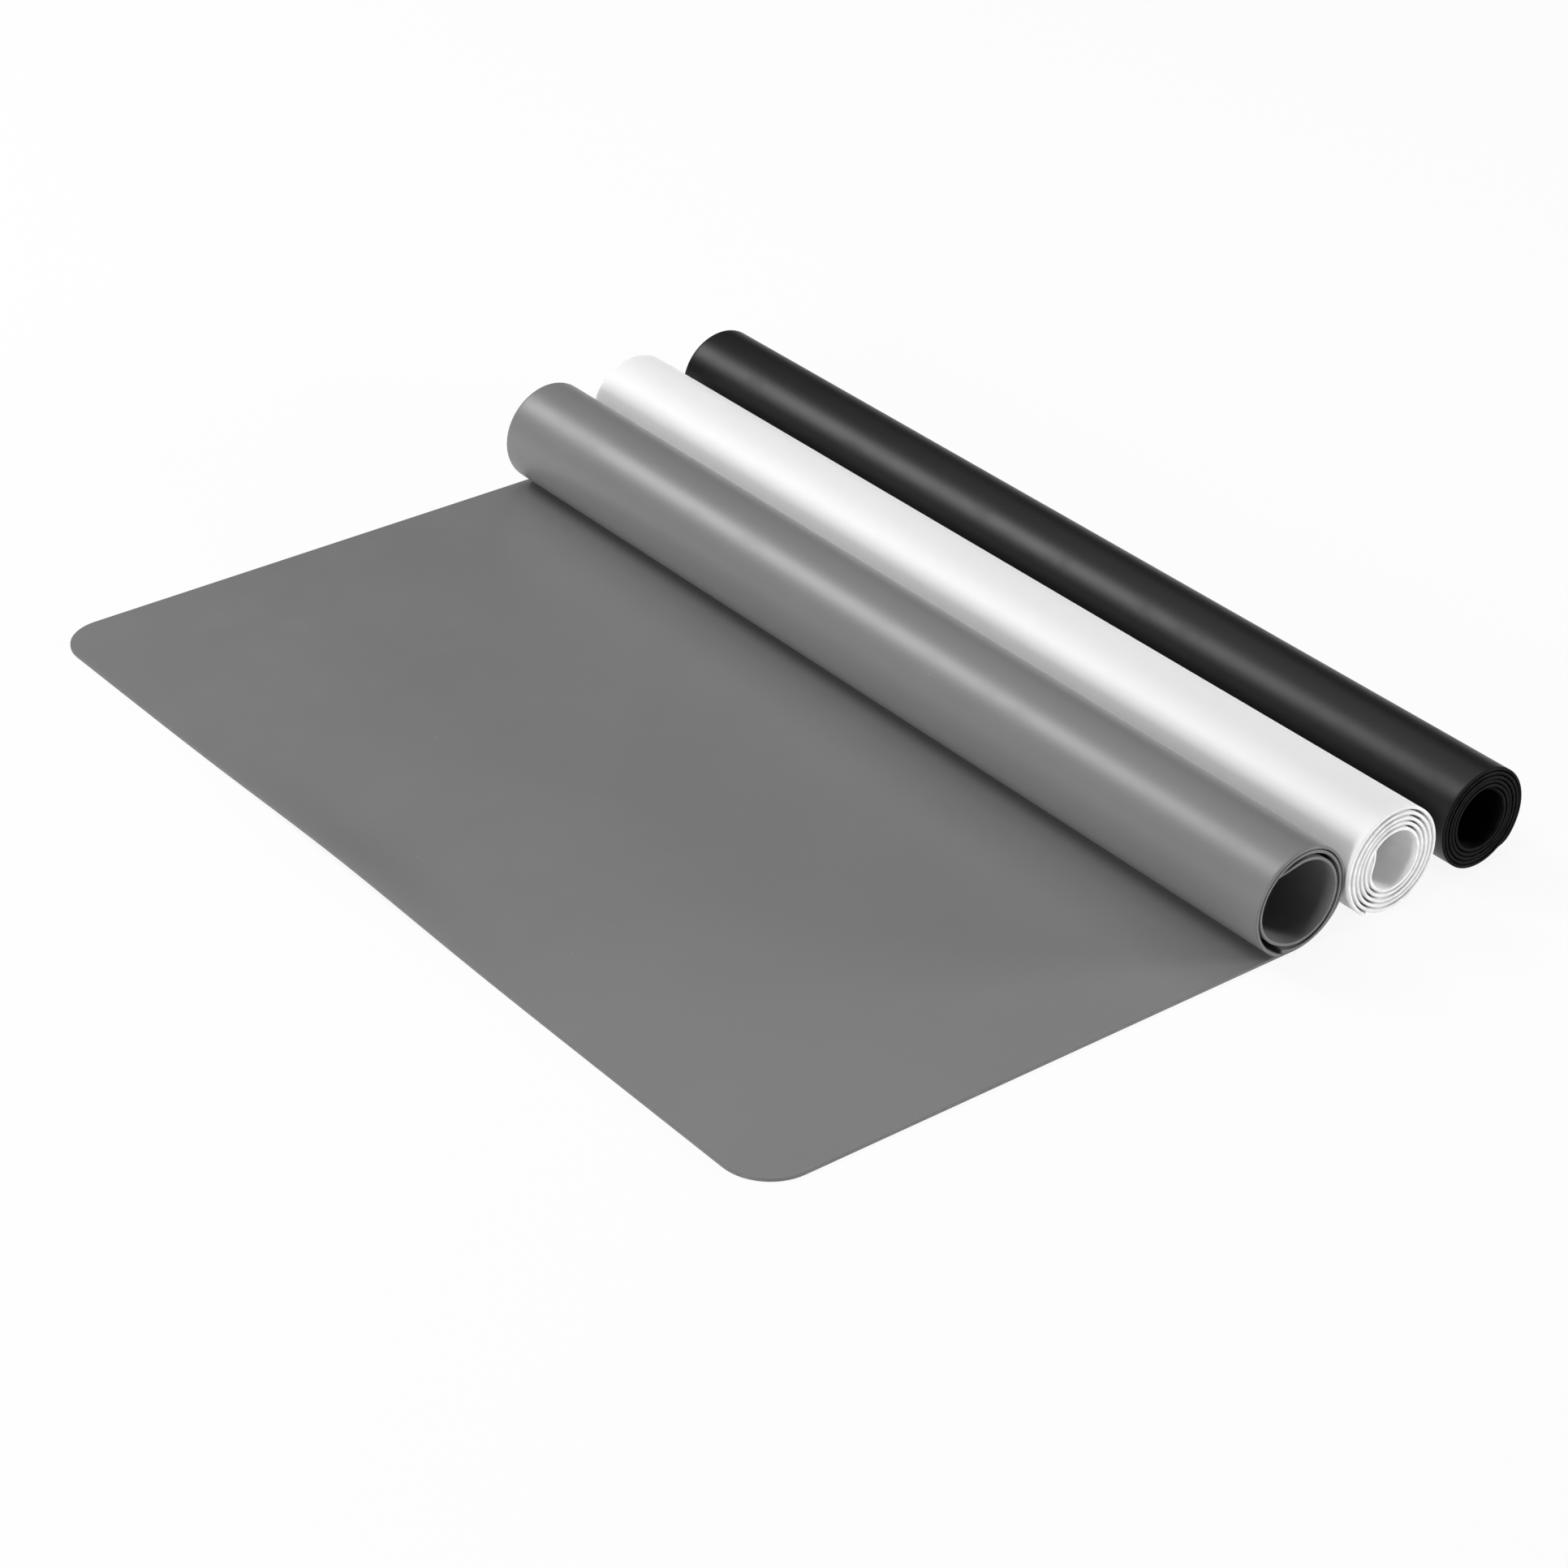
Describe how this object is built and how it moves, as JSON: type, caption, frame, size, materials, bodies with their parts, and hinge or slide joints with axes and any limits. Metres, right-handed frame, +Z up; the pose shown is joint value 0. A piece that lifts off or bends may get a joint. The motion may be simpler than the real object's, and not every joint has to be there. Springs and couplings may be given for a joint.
{
  "type": "silicone countertop mat set",
  "caption": "Thin silicone countertop mats with rounded corners: a grey one half unrolled on the counter, and a white and a black one rolled up behind it.",
  "frame": {"origin": "on the counter, under the middle of the grey mat's laid stretch", "axes": "+X along the rolls, +Y from the grey mat's front edge towards the rolls, +Z up from the counter"},
  "size_m": [0.4026, 0.3105, 0.0391],
  "materials": {
    "grey_silicone": "satin moulded silicone, mid grey",
    "white_silicone": "satin moulded silicone, milky white",
    "black_silicone": "satin moulded silicone, black"
  },
  "bodies": {
    "laid_stretch": {"grey_mat_laid_stretch": "grey_silicone"},
    "grey_roll": {"grey_mat_outer_wrap": "grey_silicone"},
    "grey_core": {"grey_mat_inner_wraps": "grey_silicone"},
    "white_roll": {"white_mat": "white_silicone"},
    "black_roll": {"black_mat": "black_silicone"}
  },
  "joints": [
    {"name": "roll_travel", "type": "slide", "parent": "laid_stretch", "child": "grey_roll", "axis": [0, -1, 0], "range_m": [0, 0.165], "deforming": ["grey_mat_laid_stretch"]},
    {"name": "core_turn", "type": "hinge", "parent": "grey_roll", "child": "grey_core", "pos_m": [0, 0.11595, 0.0191], "axis": [1, 0, 0], "range_deg": [0, 510]},
    {"name": "white_lift", "type": "slide", "parent": "laid_stretch", "child": "white_roll", "axis": [0, 0, 1], "range_m": [0, 0.08]},
    {"name": "black_lift", "type": "slide", "parent": "laid_stretch", "child": "black_roll", "axis": [0, 0, 1], "range_m": [0, 0.08]}
  ],
  "couplings": [
    {"joint": "core_turn", "follows": "roll_travel", "rad_per_m": 53.763}
  ]
}
